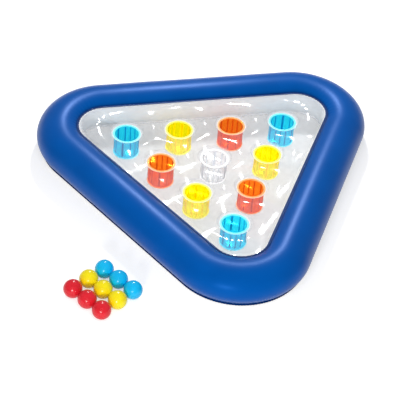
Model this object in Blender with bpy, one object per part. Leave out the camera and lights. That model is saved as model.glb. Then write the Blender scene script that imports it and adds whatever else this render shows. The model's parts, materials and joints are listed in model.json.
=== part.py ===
"""Inflatable pool pong game: a three-sided air ring round a clear air floor with ten cup pockets,
its two inflation valves, and nine loose balls. Metres, +Z up. The origin is on the ground, in the
middle of the box that holds the whole game, and the pointed end with the single cup faces -Y.
"""

import math

import bmesh
import bpy
import numpy as np
from mathutils import Vector
from mathutils.geometry import delaunay_2d_cdt

# Cup pockets, by rows from the back row to the single cup in front, each row from the left
CUP_COLOURS = (
    ("blue", "yellow", "orange", "blue"),
    ("orange", "clear", "yellow"),
    ("yellow", "orange"),
    ("blue",),
)
CUP_PITCH = 0.195
ROW_PITCH = 0.1722
CUP_RIM_HEIGHT = 0.100
CUP_MOUTH = 0.088
CUP_FLANGE = 0.0065
CUP_BODY = 0.094
CUP_NECK = 0.010
CUP_DEPTH = 0.082
CUP_SHEET = 0.0008
CUP_FOOT_LIP = 0.0015
PLEAT_DEPTH = 0.003
PLEAT_COUNT = 12

# Air ring
TUBE_WIDTH = 0.164
TUBE_HEIGHT = 0.142
REST_FLAT_DEPTH = 0.0005
TUBE_SHEET = 0.0005
CORNER_RADIUS = 0.175
CUP_TO_TUBE = 0.2098
WELD_LIP = 0.005
OUTER_SEAM_ANGLE = -42.0
INNER_SEAM_ANGLE = 141.3

# Clear air floor
FILM = 0.0005
TOP_BULGE = 0.018
BOTTOM_BULGE = 0.014
FLANGE_FLAT = 0.0015

# Inflation valves
VALVE_SHEET = 0.001
VALVE_BORE = 0.007
VALVE_HOLE = 0.0164
SEAT_DIAMETER = 0.028
SEAT_DROP = 0.0012
WELL_DIAMETER = 0.015
WELL_ROOM = 0.0045
WELL_VENT = 0.006
STEM_DIAMETER = 0.012
STEM_LENGTH = 0.015
STEM_PROUD = 0.0025
STEM_FOOT_DIAMETER = 0.0142
STEM_FOOT_HEIGHT = 0.0015
EAR_HEIGHT = 0.0013
PIVOT_REACH = 0.0095
CAP_DIAMETER = 0.015
CAP_HEIGHT = 0.0015
SHANK_LENGTH = 0.004
SHANK_TIP_DIAMETER = 0.0044
FLAP_DIAMETER = 0.009
FLAP_SHEET = 0.0004
RING_VALVE_ASIDE = 0.12
RING_VALVE_ANGLE = 25.0
FLOOR_VALVE_SETBACK = 0.030
FLOOR_VALVE_HEIGHT = 0.0185

# Balls, in rows of one colour beside the ring's front left side
BALL_COLOURS = ("red", "yellow", "blue")
BALLS_A_ROW = 3
BALL_DIAMETER = 0.065
BALL_SHEET = 0.0008
BALL_VENT = 0.002
BALL_GAP_IN_ROW = 0.0025
BALL_GAP_BETWEEN_ROWS = 0.005
BALL_ROW_HEADING = -53.45
BALL_COLUMN_HEADING = 33.25
BALLS_FROM_TUBE = 0.2185
BALLS_ALONG_SIDE = 0.2174

# Clearances between pieces, and how finely round shapes are cut
WELD_GAP = 0.0003
MERGE_DISTANCE = 0.000001
CUT_OVERRUN = 0.004
CORNER_STEPS = 12
SIDE_STEPS = 8
TUBE_STEPS = 10
INNER_STEPS_SHARE = 0.7
CUP_HOLE_SEGMENTS = 16
VALVE_SEGMENTS = 16
POINTS_A_PITCH = 5
POINT_MARGIN_SHARE = 0.4
BALL_SEGMENTS = 16
BALL_STEPS = 7
SHARP_ANGLE = 40.0
SQUARE_ON_SHARE = 0.99

# Sizes that follow from those above
ROW_COUNT = len(CUP_COLOURS)
FIELD_REACH = ROW_PITCH * (ROW_COUNT - 1) / 3
SIDE_REACH = FIELD_REACH + CUP_TO_TUBE
CORNER_REACH = 2 * (SIDE_REACH - CORNER_RADIUS)
MIDDLE = Vector((0, CORNER_REACH / 4))
TUBE_CENTRE = TUBE_HEIGHT / 2 - REST_FLAT_DEPTH
FLANGE_RADIUS = CUP_MOUTH / 2 + CUP_FLANGE
FOOT_RADIUS = CUP_BODY / 2 + CUP_FOOT_LIP
CUP_FLOOR_HEIGHT = CUP_RIM_HEIGHT - CUP_DEPTH
TOP_FILM_HEIGHT = CUP_RIM_HEIGHT - CUP_SHEET - WELD_GAP - FILM / 2
BOTTOM_FILM_HEIGHT = CUP_FLOOR_HEIGHT - CUP_SHEET - WELD_GAP - FILM / 2
LIP_HALF_STACK = WELD_GAP + FILM / 2
CORNER_HEADINGS = (-90.0, 30.0, 150.0)
CORNER_SWEEP = 120.0


def clear_scene():
    for obj in list(bpy.data.objects):
        bpy.data.objects.remove(obj)


def make_material(name, colour, roughness, alpha=1.0):
    material = bpy.data.materials.new(name)
    material.use_nodes = True
    shader = material.node_tree.nodes["Principled BSDF"]
    shader.inputs["Base Color"].default_value = (*colour, 1.0)
    shader.inputs["Roughness"].default_value = roughness
    shader.inputs["Metallic"].default_value = 0.0
    shader.inputs["Alpha"].default_value = alpha
    return material


def make_materials():
    return {
        "ring": make_material("ring_blue", (0.004, 0.085, 0.400), 0.35),
        "underside": make_material("ring_underside", (0.80, 0.82, 0.85), 0.35),
        "film": make_material("clear_film", (0.86, 0.90, 0.92), 0.08, 0.30),
        "valve": make_material("valve_clear", (0.82, 0.86, 0.88), 0.20, 0.55),
        "cup_blue": make_material("cup_blue", (0.01, 0.50, 0.86), 0.15, 0.60),
        "cup_yellow": make_material("cup_yellow", (0.95, 0.82, 0.03), 0.15, 0.60),
        "cup_orange": make_material("cup_orange", (0.95, 0.13, 0.02), 0.15, 0.60),
        "cup_clear": make_material("cup_clear", (0.84, 0.86, 0.87), 0.15, 0.45),
        "ball_red": make_material("ball_red", (0.75, 0.02, 0.03), 0.22),
        "ball_yellow": make_material("ball_yellow", (0.92, 0.72, 0.02), 0.22),
        "ball_blue": make_material("ball_blue", (0.01, 0.46, 0.82), 0.22),
    }


def finish_mesh(name, bm, material):
    """A smooth-shaded mesh with one material, from a bmesh whose faces are turned outwards."""
    bmesh.ops.remove_doubles(bm, verts=bm.verts, dist=MERGE_DISTANCE)
    bmesh.ops.recalc_face_normals(bm, faces=bm.faces)
    mesh = bpy.data.meshes.new(name)
    bm.to_mesh(mesh)
    bm.free()
    mesh.shade_smooth()
    mesh.set_sharp_from_angle(angle=math.radians(SHARP_ANGLE))
    mesh.materials.append(material)
    return mesh


def place(name, mesh, location=(0, 0, 0), parent=None):
    obj = bpy.data.objects.new(name, mesh)
    bpy.context.scene.collection.objects.link(obj)
    obj.location = location
    obj.parent = parent
    return obj


def turned(profile, segments, closed):
    """A profile of (radius, height) points spun about Z, with flats facing along X and Y."""
    bm = bmesh.new()
    start = math.pi / segments
    verts = [bm.verts.new((r * math.cos(start), r * math.sin(start), z)) for r, z in profile]
    ends = verts[1:] + verts[:1] if closed else verts[1:]
    edges = [bm.edges.new(pair) for pair in zip(verts, ends)]
    bmesh.ops.spin(
        bm,
        geom=verts + edges,
        cent=(0, 0, 0),
        axis=(0, 0, 1),
        angle=math.tau,
        steps=segments,
        use_merge=True,
    )
    bmesh.ops.remove_doubles(bm, verts=bm.verts, dist=MERGE_DISTANCE)
    bmesh.ops.recalc_face_normals(bm, faces=bm.faces)
    return bm


# The plan of the ring

def plan_stations():
    """(arc centre, outward direction) for each station round the ring's corners."""
    stations = []
    for heading in CORNER_HEADINGS:
        towards = math.radians(heading)
        centre = MIDDLE + CORNER_REACH * Vector((math.cos(towards), math.sin(towards)))
        for step in range(CORNER_STEPS + 1):
            turn = math.radians(CORNER_SWEEP * (step / CORNER_STEPS - 0.5))
            outward = Vector((math.cos(towards + turn), math.sin(towards + turn)))
            stations.append((centre, outward))
    return stations


def plan_loop(offset):
    """The ring's plan at a sideways offset from the tube's centreline, with points along its straights."""
    corners = [centre + (CORNER_RADIUS + offset) * outward for centre, outward in plan_stations()]
    loop = []
    for index, point in enumerate(corners):
        loop.append(point)
        if index % (CORNER_STEPS + 1) == CORNER_STEPS:
            following = corners[(index + 1) % len(corners)]
            loop += [point.lerp(following, step / SIDE_STEPS) for step in range(1, SIDE_STEPS)]
    return loop


def cup_centres():
    """(x, y, colour) of each cup, from the back row's left end to the front cup."""
    centres = []
    for row, colours in enumerate(CUP_COLOURS):
        y = MIDDLE.y + FIELD_REACH - row * ROW_PITCH
        for place_in_row, colour in enumerate(colours):
            x = (place_in_row - (len(colours) - 1) / 2) * CUP_PITCH
            centres.append((x, y, colour))
    return centres


# The air ring

def tube_point(angle, inset=0.0):
    """(offset, height) on the tube's section: 0 faces out, a quarter turn is the crown."""
    across = (TUBE_WIDTH / 2 - inset) * math.cos(angle)
    height = TUBE_CENTRE + (TUBE_HEIGHT / 2 - inset) * math.sin(angle)
    return Vector((across, max(height, 0.0)))


def tube_arc(first, last, steps, inset=0.0):
    return [tube_point(angle, inset) for angle in np.linspace(first, last, steps + 1)]


def inner_angle_at(height, inset):
    """Where the tube's inner side passes through a height."""
    return math.pi - math.asin((height - TUBE_CENTRE) / (TUBE_HEIGHT / 2 - inset))


def outer_seam():
    """(seam point, outward normal, tangent, metres a radian) at the outer weld."""
    angle = math.radians(OUTER_SEAM_ANGLE)
    tangent = Vector((-TUBE_WIDTH / 2 * math.sin(angle), TUBE_HEIGHT / 2 * math.cos(angle)))
    speed = tangent.length
    tangent.normalize()
    return tube_point(angle), Vector((tangent.y, -tangent.x)), tangent, speed


def upper_arc_angles():
    """The outside of the upper sheet, from the outer weld over the crown to the inner weld."""
    speed = outer_seam()[3]
    first = math.radians(OUTER_SEAM_ANGLE) + (WELD_GAP / 2 + TUBE_SHEET) / speed
    seam_height = tube_point(math.radians(INNER_SEAM_ANGLE)).y
    last = inner_angle_at(seam_height + LIP_HALF_STACK + TUBE_SHEET, 0.0)
    return first, last


def upper_section():
    seam, normal, tangent, speed = outer_seam()
    inner = tube_point(math.radians(INNER_SEAM_ANGLE))
    lip_end = seam + WELD_LIP * normal
    under = inner.y + LIP_HALF_STACK
    outer_first, outer_last = upper_arc_angles()
    inner_first = math.radians(OUTER_SEAM_ANGLE) + WELD_GAP / 2 / speed
    inner_last = inner_angle_at(under, TUBE_SHEET)
    section = [lip_end + (WELD_GAP / 2 + TUBE_SHEET) * tangent]
    section += tube_arc(outer_first, outer_last, TUBE_STEPS)
    section.append(Vector((inner.x - WELD_LIP, under + TUBE_SHEET)))
    section.append(Vector((inner.x - WELD_LIP, under)))
    section += tube_arc(inner_last, inner_first, TUBE_STEPS, TUBE_SHEET)
    section.append(lip_end + WELD_GAP / 2 * tangent)
    return section


def lower_arc(first, last, inset):
    """The lower sheet's arc from the inner weld round the bottom, cut flat where the ring stands."""
    flat = math.acos(1 - REST_FLAT_DEPTH / (TUBE_HEIGHT / 2))
    bottom = 1.5 * math.pi
    inner_steps = round(TUBE_STEPS * INNER_STEPS_SHARE)
    arc = tube_arc(first, bottom - flat, inner_steps, inset)
    return arc + tube_arc(bottom + flat, last, TUBE_STEPS - inner_steps, inset)


def lower_section():
    seam, normal, tangent, speed = outer_seam()
    inner = tube_point(math.radians(INNER_SEAM_ANGLE))
    lip_end = seam + WELD_LIP * normal
    top = inner.y - LIP_HALF_STACK
    seam_angle = math.radians(OUTER_SEAM_ANGLE) + math.tau
    outer_last = seam_angle - (WELD_GAP / 2 + TUBE_SHEET) / speed
    inner_last = seam_angle - WELD_GAP / 2 / speed
    section = [Vector((inner.x - WELD_LIP, top - TUBE_SHEET))]
    section += lower_arc(inner_angle_at(top - TUBE_SHEET, 0.0), outer_last, 0.0)
    section.append(lip_end - (WELD_GAP / 2 + TUBE_SHEET) * tangent)
    section.append(lip_end - WELD_GAP / 2 * tangent)
    section += reversed(lower_arc(inner_angle_at(top, TUBE_SHEET), inner_last, TUBE_SHEET))
    section.append(Vector((inner.x - WELD_LIP, top)))
    return section


def swept_round_ring(section):
    """A closed section of (offset, height) points carried once round the ring's plan."""
    bm = bmesh.new()
    rows = []
    for centre, outward in plan_stations():
        row = []
        for offset, height in section:
            point = centre + (CORNER_RADIUS + offset) * outward
            row.append(bm.verts.new((point.x, point.y, height)))
        rows.append(row)
    for row, following in zip(rows, rows[1:] + rows[:1]):
        for i, vert in enumerate(row):
            j = (i + 1) % len(row)
            bm.faces.new((vert, following[i], following[j], row[j]))
    return bm


def ring_valve_facet():
    """(middle of the flat, its elevation) for the facet of the upper sheet that the valve sits on."""
    first, last = upper_arc_angles()
    step = (last - first) / TUBE_STEPS
    index = math.floor((math.radians(RING_VALVE_ANGLE) - first) / step)
    start = tube_point(first + index * step)
    end = tube_point(first + (index + 1) * step)
    along = (end - start).normalized()
    return (start + end) / 2, math.atan2(-along.x, along.y)


def make_ring(material, underside, valve_frame):
    upper_mesh = finish_mesh("ring_upper_sheet", swept_round_ring(upper_section()), material)
    lower_mesh = finish_mesh("ring_lower_sheet", swept_round_ring(lower_section()), underside)
    upper = place("ring_upper_sheet", upper_mesh)
    place("ring_lower_sheet", lower_mesh)
    cutter_bm = bmesh.new()
    bmesh.ops.create_cone(
        cutter_bm,
        cap_ends=True,
        segments=VALVE_SEGMENTS,
        radius1=VALVE_HOLE / 2,
        radius2=VALVE_HOLE / 2,
        depth=2 * CUT_OVERRUN,
    )
    cutter_mesh = finish_mesh("valve_hole_cutter", cutter_bm, material)
    cutter = place("valve_hole_cutter", cutter_mesh, parent=valve_frame)
    cutter.hide_render = True
    cutter.display_type = "WIRE"
    cut = upper.modifiers.new("valve_hole", "BOOLEAN")
    cut.operation = "DIFFERENCE"
    cut.solver = "EXACT"
    cut.object = cutter


# The clear air floor

def circle(centre, radius, segments):
    points = []
    for step in range(segments):
        angle = math.tau * step / segments
        points.append(Vector(centre) + radius * Vector((math.cos(angle), math.sin(angle))))
    return points


def inside_depth(point, loop):
    """How far a point lies inside a convex loop that runs counter-clockwise."""
    depths = []
    for start, end in zip(loop, loop[1:] + loop[:1]):
        edge = (end - start).normalized()
        depths.append(edge.x * (point.y - start.y) - edge.y * (point.x - start.x))
    return min(depths)


def free_points(outline, discs):
    """A triangular grid in step with the cups, clear of the outline and of each (centre, radius)."""
    step = CUP_PITCH / POINTS_A_PITCH
    row_step = ROW_PITCH / POINTS_A_PITCH
    margin = POINT_MARGIN_SHARE * step
    rows = math.ceil(2 * SIDE_REACH / row_step)
    columns = math.ceil(2 * SIDE_REACH / step)
    points = []
    for row in range(-rows, rows + 1):
        for column in range(-columns, columns + 1):
            x = (column + row % 2 / 2) * step
            point = Vector((x, MIDDLE.y + row * row_step))
            if inside_depth(point, outline) < margin:
                continue
            if all((point - Vector(centre)).length > radius + margin for centre, radius in discs):
                points.append(point)
    return points


def stretched_heights(points, triangles, fixed, bulge):
    """Heights of a skin held at some points and blown out by air, risen by bulge at its crown."""
    count = len(points)
    stiffness = np.zeros((count, count))
    load = np.zeros(count)
    for triangle in triangles:
        for corner in range(3):
            a, b, c = (triangle[(corner + shift) % 3] for shift in range(3))
            first = points[a] - points[c]
            second = points[b] - points[c]
            area = abs(first.x * second.y - first.y * second.x)
            weight = first.dot(second) / area / 2
            stiffness[a, b] -= weight
            stiffness[b, a] -= weight
            stiffness[a, a] += weight
            stiffness[b, b] += weight
            load[c] += area / 6
    held = np.array(sorted(fixed))
    free = np.array([index for index in range(count) if index not in fixed])
    heights = np.zeros(count)
    heights[held] = [fixed[index] for index in held]
    inner = stiffness[np.ix_(free, free)]
    pull = -stiffness[np.ix_(free, held)] @ heights[held]
    rise = np.linalg.solve(inner, load[free])
    heights[free] = np.linalg.solve(inner, pull) + bulge * rise / rise.max()
    return heights


def film_body(loops, holes, discs, bulge):
    """A film through fixed loops of (points, height), open at each (centre, radius) of holes."""
    points = []
    edges = []
    fixed = {}
    for loop, height in loops:
        first = len(points)
        for index, point in enumerate(loop):
            fixed[first + index] = height
            edges.append((first + index, first + (index + 1) % len(loop)))
            points.append(point)
    points += free_points(loops[0][0], discs)
    points, _, triangles, _, _, _ = delaunay_2d_cdt(points, edges, [], 0, MERGE_DISTANCE)
    kept = []
    for triangle in triangles:
        middle = (points[triangle[0]] + points[triangle[1]] + points[triangle[2]]) / 3
        if all((middle - Vector(centre)).length > radius for centre, radius in holes):
            kept.append(triangle)
    heights = stretched_heights(points, kept, fixed, bulge)
    return film_with_thickness(points, heights, kept)


def film_with_thickness(points, heights, triangles):
    bm = bmesh.new()
    top = [bm.verts.new((p.x, p.y, z + FILM / 2)) for p, z in zip(points, heights)]
    bottom = [bm.verts.new((p.x, p.y, z - FILM / 2)) for p, z in zip(points, heights)]
    uses = {}
    for triangle in triangles:
        bm.faces.new([top[i] for i in triangle])
        bm.faces.new([bottom[i] for i in reversed(triangle)])
        for start, end in zip(triangle, triangle[1:] + triangle[:1]):
            uses.setdefault(frozenset((start, end)), []).append((start, end))
    for used in uses.values():
        if len(used) == 1:
            start, end = used[0]
            bm.faces.new((top[end], top[start], bottom[start], bottom[end]))
    return bm


def floor_valve_centre():
    heading = math.radians(CORNER_HEADINGS[0])
    reach = CORNER_REACH + FLOOR_VALVE_SETBACK
    return MIDDLE + reach * Vector((math.cos(heading), math.sin(heading)))


def flat_facets(radius, segments):
    """The corner radius of a polygon whose flats lie at a radius."""
    return radius / math.cos(math.pi / segments)


def make_floor(material):
    seam = tube_point(math.radians(INNER_SEAM_ANGLE))
    hole = flat_facets(CUP_MOUTH / 2 + CUP_SHEET + 2 * WELD_GAP, CUP_HOLE_SEGMENTS)
    flange_edge = flat_facets(FLANGE_RADIUS + FLANGE_FLAT, CUP_HOLE_SEGMENTS)
    loops = [(plan_loop(seam.x - inset), seam.y) for inset in (WELD_GAP, WELD_GAP + WELD_LIP)]
    holes = []
    discs = []
    for x, y, _ in cup_centres():
        loops.append((circle((x, y), hole, CUP_HOLE_SEGMENTS), TOP_FILM_HEIGHT))
        loops.append((circle((x, y), flange_edge, CUP_HOLE_SEGMENTS), TOP_FILM_HEIGHT))
        holes.append(((x, y), hole * math.cos(math.pi / CUP_HOLE_SEGMENTS)))
        discs.append(((x, y), flange_edge))
    top = film_body(loops, holes, discs, TOP_BULGE)
    place("floor_top_film", finish_mesh("floor_top_film", top, material))

    strip = weld_strip()
    foot_edge = flat_facets(FOOT_RADIUS + FLANGE_FLAT, CUP_HOLE_SEGMENTS)
    loops = [(plan_loop(across), height) for across, height in strip]
    discs = []
    for x, y, _ in cup_centres():
        loops.append((circle((x, y), foot_edge, CUP_HOLE_SEGMENTS), BOTTOM_FILM_HEIGHT))
        discs.append(((x, y), foot_edge))
    valve = floor_valve_centre()
    valve_hole = flat_facets(VALVE_HOLE / 2, VALVE_SEGMENTS)
    valve_flat = flat_facets(SEAT_DIAMETER / 2 + FLANGE_FLAT, VALVE_SEGMENTS)
    valve_film = FLOOR_VALVE_HEIGHT + FILM / 2
    loops.append((circle(valve, valve_hole, VALVE_SEGMENTS), valve_film))
    loops.append((circle(valve, valve_flat, VALVE_SEGMENTS), valve_film))
    discs.append((valve, valve_flat))
    bottom = film_body(loops, [(valve, VALVE_HOLE / 2)], discs, -BOTTOM_BULGE)
    place("floor_bottom_film", finish_mesh("floor_bottom_film", bottom, material))


def weld_strip():
    """(offset, height) of the bottom film's welded edge under the tube, from its rim inwards."""
    angle = math.tau - math.radians(INNER_SEAM_ANGLE)
    clear = -(WELD_GAP + FILM)
    first = tube_point(angle + 2 * WELD_LIP / TUBE_WIDTH, clear)
    last = tube_point(angle, clear)
    return [(first.x, first.y), (last.x, last.y)]


# The cup pockets

def cup_wall_body():
    """The flange, a short neck and the pleated wall, down to the lip that the base is welded to."""
    mouth = CUP_MOUTH / 2
    outside = CUP_BODY / 2
    inside = outside - CUP_SHEET
    foot = CUP_FLOOR_HEIGHT + WELD_GAP
    neck = CUP_RIM_HEIGHT - CUP_NECK
    profile = [
        (FLANGE_RADIUS, CUP_RIM_HEIGHT),
        (mouth, CUP_RIM_HEIGHT),
        (inside, neck),
        (inside, foot),
        (FOOT_RADIUS, foot),
        (FOOT_RADIUS, foot + CUP_SHEET),
        (outside, foot + CUP_SHEET),
        (outside, neck),
        (mouth + CUP_SHEET, CUP_RIM_HEIGHT - CUP_SHEET),
        (FLANGE_RADIUS, CUP_RIM_HEIGHT - CUP_SHEET),
    ]
    bm = turned(profile, 2 * PLEAT_COUNT, closed=True)
    for vert in bm.verts:
        on_wall = vert.co.xy.length < outside + WELD_GAP
        below_rim = vert.co.z < neck + WELD_GAP
        if on_wall and below_rim:
            turn = math.atan2(vert.co.y, vert.co.x) / math.tau * 2 * PLEAT_COUNT
            if math.floor(turn) % 2:
                vert.co.xy *= 1 - PLEAT_DEPTH / vert.co.xy.length
    return bm


def cup_base_body():
    profile = [
        (0, CUP_FLOOR_HEIGHT),
        (FOOT_RADIUS, CUP_FLOOR_HEIGHT),
        (FOOT_RADIUS, CUP_FLOOR_HEIGHT - CUP_SHEET),
        (0, CUP_FLOOR_HEIGHT - CUP_SHEET),
    ]
    return turned(profile, 2 * PLEAT_COUNT, closed=False)


def make_cups(materials):
    meshes = {}
    for colour in sorted({colour for _, _, colour in cup_centres()}):
        material = materials["cup_" + colour]
        wall = finish_mesh("cup_wall_" + colour, cup_wall_body(), material)
        base = finish_mesh("cup_base_" + colour, cup_base_body(), material)
        meshes[colour] = (wall, base)
    for number, (x, y, colour) in enumerate(cup_centres(), start=1):
        wall, base = meshes[colour]
        place(f"cup_wall_{number:02d}", wall, (x, y, 0))
        place(f"cup_base_{number:02d}", base, (x, y, 0))


# The valves, each in a frame whose Z points out of the sheet it is welded under

def valve_frame(name, location, turn_about_x):
    frame = bpy.data.objects.new(name, None)
    bpy.context.scene.collection.objects.link(frame)
    frame.location = location
    frame.rotation_euler = (turn_about_x, 0, 0)
    return frame


def ring_valve_frame():
    middle, elevation = ring_valve_facet()
    location = (RING_VALVE_ASIDE, MIDDLE.y + SIDE_REACH + middle.x, middle.y)
    return valve_frame("ring_valve_frame", location, elevation - math.pi / 2)


def floor_valve_frame():
    centre = floor_valve_centre()
    return valve_frame("floor_valve_frame", (centre.x, centre.y, FLOOR_VALVE_HEIGHT), math.pi)


def well_floor():
    return STEM_PROUD - STEM_LENGTH - WELD_GAP - FLAP_SHEET - WELL_ROOM


def valve_seat_body(drop):
    top = -drop
    well = WELL_DIAMETER / 2
    floor = well_floor()
    profile = [
        (SEAT_DIAMETER / 2, top),
        (well, top),
        (well, floor),
        (WELL_VENT / 2, floor),
        (WELL_VENT / 2, floor - VALVE_SHEET),
        (well + VALVE_SHEET, floor - VALVE_SHEET),
        (well + VALVE_SHEET, top - VALVE_SHEET),
        (SEAT_DIAMETER / 2, top - VALVE_SHEET),
    ]
    return turned(profile, VALVE_SEGMENTS, closed=True)


def pulled_out_flat(bm, low, high, reach):
    """Draws out the flat that faces -Y between two heights, until it lies reach from the axis."""
    for face in list(bm.faces):
        centre = face.calc_center_median()
        if face.normal.y < -SQUARE_ON_SHARE and centre.y < 0 and low < centre.z < high:
            drawn = bmesh.ops.extrude_discrete_faces(bm, faces=[face])["faces"][0]
            for vert in drawn.verts:
                vert.co.y = -reach
            return


def valve_stem_body():
    bottom = STEM_PROUD - STEM_LENGTH
    radius = STEM_DIAMETER / 2
    foot = STEM_FOOT_DIAMETER / 2
    bore = VALVE_BORE / 2
    profile = [
        (bore, STEM_PROUD),
        (radius, STEM_PROUD),
        (radius, STEM_PROUD - EAR_HEIGHT),
        (radius, bottom + STEM_FOOT_HEIGHT),
        (foot, bottom + STEM_FOOT_HEIGHT),
        (foot, bottom),
        (bore, bottom),
    ]
    bm = turned(profile, VALVE_SEGMENTS, closed=True)
    pulled_out_flat(bm, STEM_PROUD - EAR_HEIGHT, STEM_PROUD, PIVOT_REACH)
    return bm


def plug_height():
    return STEM_PROUD + WELD_GAP


def valve_plug_body():
    """The cap, its tapered shank and its strap, about the strap's bend."""
    low = plug_height()
    profile = [
        (0, low + CAP_HEIGHT),
        (CAP_DIAMETER / 2, low + CAP_HEIGHT),
        (CAP_DIAMETER / 2, low),
        (VALVE_BORE / 2 - WELD_GAP, low),
        (SHANK_TIP_DIAMETER / 2, low - SHANK_LENGTH),
        (0, low - SHANK_LENGTH),
    ]
    bm = turned(profile, VALVE_SEGMENTS, closed=False)
    pulled_out_flat(bm, low, low + CAP_HEIGHT, PIVOT_REACH)
    bmesh.ops.translate(bm, verts=bm.verts, vec=(0, PIVOT_REACH, -low))
    return bm


def flap_pivot():
    return (0, -FLAP_DIAMETER / 2, STEM_PROUD - STEM_LENGTH - WELD_GAP)


def valve_flap_body():
    """The thin disc that closes the bore from inside, about the edge that it bends at."""
    radius = FLAP_DIAMETER / 2
    profile = [(0, 0), (radius, 0), (radius, -FLAP_SHEET), (0, -FLAP_SHEET)]
    bm = turned(profile, VALVE_SEGMENTS, closed=False)
    bmesh.ops.translate(bm, verts=bm.verts, vec=(0, radius, 0))
    return bm


def make_valve(name, frame, material, seat_drop):
    place(name + "_seat", finish_mesh(name + "_seat", valve_seat_body(seat_drop), material), parent=frame)
    place(name + "_stem", finish_mesh(name + "_stem", valve_stem_body(), material), parent=frame)
    plug_pivot = (0, -PIVOT_REACH, plug_height())
    place(name + "_plug", finish_mesh(name + "_plug", valve_plug_body(), material), plug_pivot, frame)
    place(name + "_flap", finish_mesh(name + "_flap", valve_flap_body(), material), flap_pivot(), frame)


# The balls

def ball_body():
    """A hollow ball that stands on its closed pole, with the pin hole it was blown through on top."""
    profile = []
    for radius in (BALL_DIAMETER / 2, BALL_DIAMETER / 2 - BALL_SHEET):
        vent = math.asin(BALL_VENT / 2 / radius)
        arc = []
        for angle in np.linspace(math.pi, vent, BALL_STEPS + 1):
            arc.append((radius * math.sin(angle), radius * math.cos(angle)))
        profile += arc if not profile else reversed(arc)
    return turned(profile, BALL_SEGMENTS, closed=False)


def make_balls(materials):
    side = math.radians(CORNER_HEADINGS[0] - CORNER_SWEEP / 2)
    out = Vector((math.cos(side), math.sin(side)))
    along = Vector((-out.y, out.x))
    block = MIDDLE + (SIDE_REACH + TUBE_WIDTH / 2 + BALLS_FROM_TUBE) * out + BALLS_ALONG_SIDE * along
    row = math.radians(BALL_ROW_HEADING)
    column = math.radians(BALL_COLUMN_HEADING)
    row_step = (BALL_DIAMETER + BALL_GAP_IN_ROW) * Vector((math.cos(row), math.sin(row)))
    column_step = (BALL_DIAMETER + BALL_GAP_BETWEEN_ROWS) * Vector((math.cos(column), math.sin(column)))
    for line, colour in enumerate(BALL_COLOURS):
        mesh = finish_mesh("ball_" + colour, ball_body(), materials["ball_" + colour])
        for number in range(BALLS_A_ROW):
            shift = (line - (len(BALL_COLOURS) - 1) / 2) * column_step
            shift += (number - (BALLS_A_ROW - 1) / 2) * row_step
            centre = block + shift
            place(f"ball_{colour}_{number + 1}", mesh, (centre.x, centre.y, BALL_DIAMETER / 2))


def main():
    clear_scene()
    materials = make_materials()
    ring_frame = ring_valve_frame()
    make_ring(materials["ring"], materials["underside"], ring_frame)
    make_floor(materials["film"])
    make_cups(materials)
    make_valve("ring_valve", ring_frame, materials["valve"], TUBE_SHEET + SEAT_DROP)
    make_valve("floor_valve", floor_valve_frame(), materials["valve"], FILM + WELD_GAP)
    make_balls(materials)


main()
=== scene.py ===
import json
import math

import bmesh
import bpy
import numpy as np
from mathutils import Euler, Matrix, Vector
from mathutils.geometry import delaunay_2d_cdt


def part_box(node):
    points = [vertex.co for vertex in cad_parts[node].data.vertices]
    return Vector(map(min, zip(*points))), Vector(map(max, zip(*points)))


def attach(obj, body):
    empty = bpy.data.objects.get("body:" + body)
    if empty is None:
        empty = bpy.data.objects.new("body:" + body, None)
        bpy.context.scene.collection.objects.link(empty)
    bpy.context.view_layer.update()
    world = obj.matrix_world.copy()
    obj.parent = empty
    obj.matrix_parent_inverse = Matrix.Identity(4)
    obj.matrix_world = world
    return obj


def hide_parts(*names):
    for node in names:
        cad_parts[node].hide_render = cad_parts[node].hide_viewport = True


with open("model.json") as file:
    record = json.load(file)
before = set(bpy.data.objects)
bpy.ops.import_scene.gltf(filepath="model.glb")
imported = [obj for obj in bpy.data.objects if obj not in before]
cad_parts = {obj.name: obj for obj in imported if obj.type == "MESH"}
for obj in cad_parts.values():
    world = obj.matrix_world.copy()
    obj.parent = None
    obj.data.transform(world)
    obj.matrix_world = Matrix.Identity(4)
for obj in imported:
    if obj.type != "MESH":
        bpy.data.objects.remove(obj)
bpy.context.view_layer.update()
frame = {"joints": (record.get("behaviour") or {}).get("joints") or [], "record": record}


# The photograph's camera, in metres from the game's origin on the ground

photoView = {
    "place": (-1.0771, -3.8881, 3.6828),
    "forward": (0.18527, 0.71329, -0.67594),
    "up": (0.08307, 0.67401, 0.73403),
    "lens": 136.64,
    "sensor": 36.0,
}


def linked(name, data):
    thing = bpy.data.objects.new(name, data)
    bpy.context.scene.collection.objects.link(thing)
    return thing


def aimed(place, forward, up):
    forward = Vector(forward).normalized()
    right = forward.cross(Vector(up)).normalized()
    turn = Matrix((right, right.cross(forward), -forward)).transposed()
    return Matrix.Translation(place) @ turn.to_4x4()


def addCamera():
    camera = linked("photoCamera", bpy.data.cameras.new("photoCamera"))
    camera.data.sensor_width = photoView["sensor"]
    camera.data.lens = photoView["lens"]
    camera.matrix_world = aimed(photoView["place"], photoView["forward"], photoView["up"])
    bpy.context.scene.camera = camera


addCamera()
print("camera in place")


# Node trees, written as sums

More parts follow.
